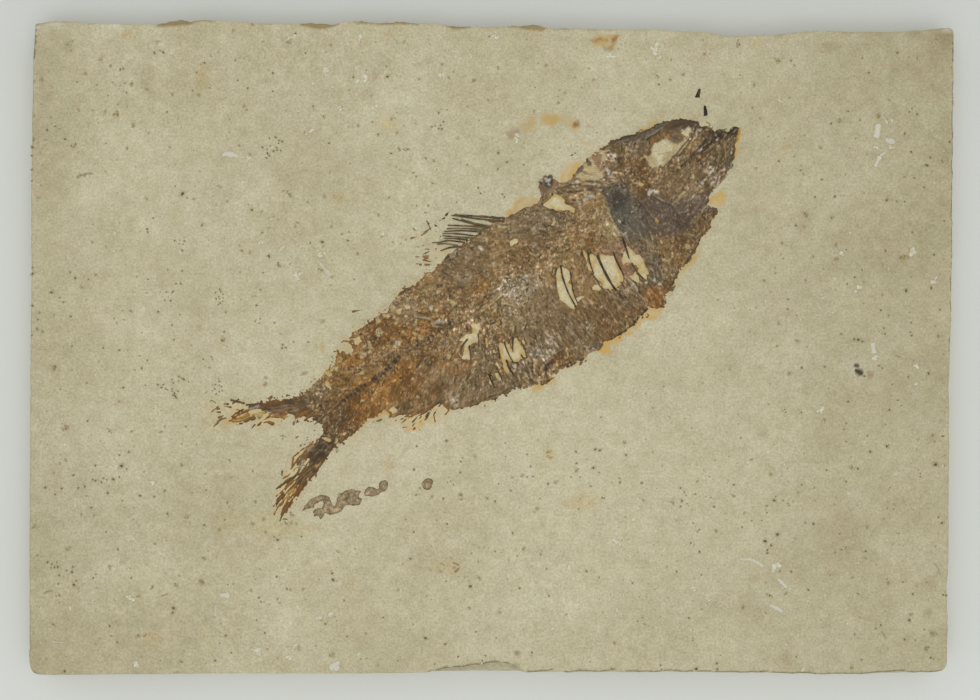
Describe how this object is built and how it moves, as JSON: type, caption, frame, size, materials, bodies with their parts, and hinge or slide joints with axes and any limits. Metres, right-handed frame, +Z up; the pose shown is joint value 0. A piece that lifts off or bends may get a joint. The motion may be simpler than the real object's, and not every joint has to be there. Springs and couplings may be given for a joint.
{
  "type": "fossil fish slab",
  "caption": "Rectangular limestone slab with a flattened fossil fish, coprolites and bone flakes on its top face, lying flat.",
  "frame": {"origin": "centre of the slab's underside, on the surface that the slab lies on", "axes": "+X along the slab's long side, towards the fish's head; +Y across the slab, towards the fish's back; +Z up, out of the face that carries the fossil"},
  "size_m": [0.2014, 0.1431, 0.0121],
  "materials": {
    "limestone": "matte, fine-grained cream limestone with faint mottling and specks",
    "fossil_bone": "mineralised brown bone with a slight sheen",
    "coprolite": "matte, granular grey-brown"
  },
  "bodies": {
    "root": {"limestone_slab": "limestone", "fossil_fish": "fossil_bone", "coprolite_coil": "coprolite", "coprolite_tail": "coprolite", "coprolite_pellet": "coprolite", "bone_flake_upper": "fossil_bone", "bone_flake_lower": "fossil_bone"}
  },
  "joints": []
}
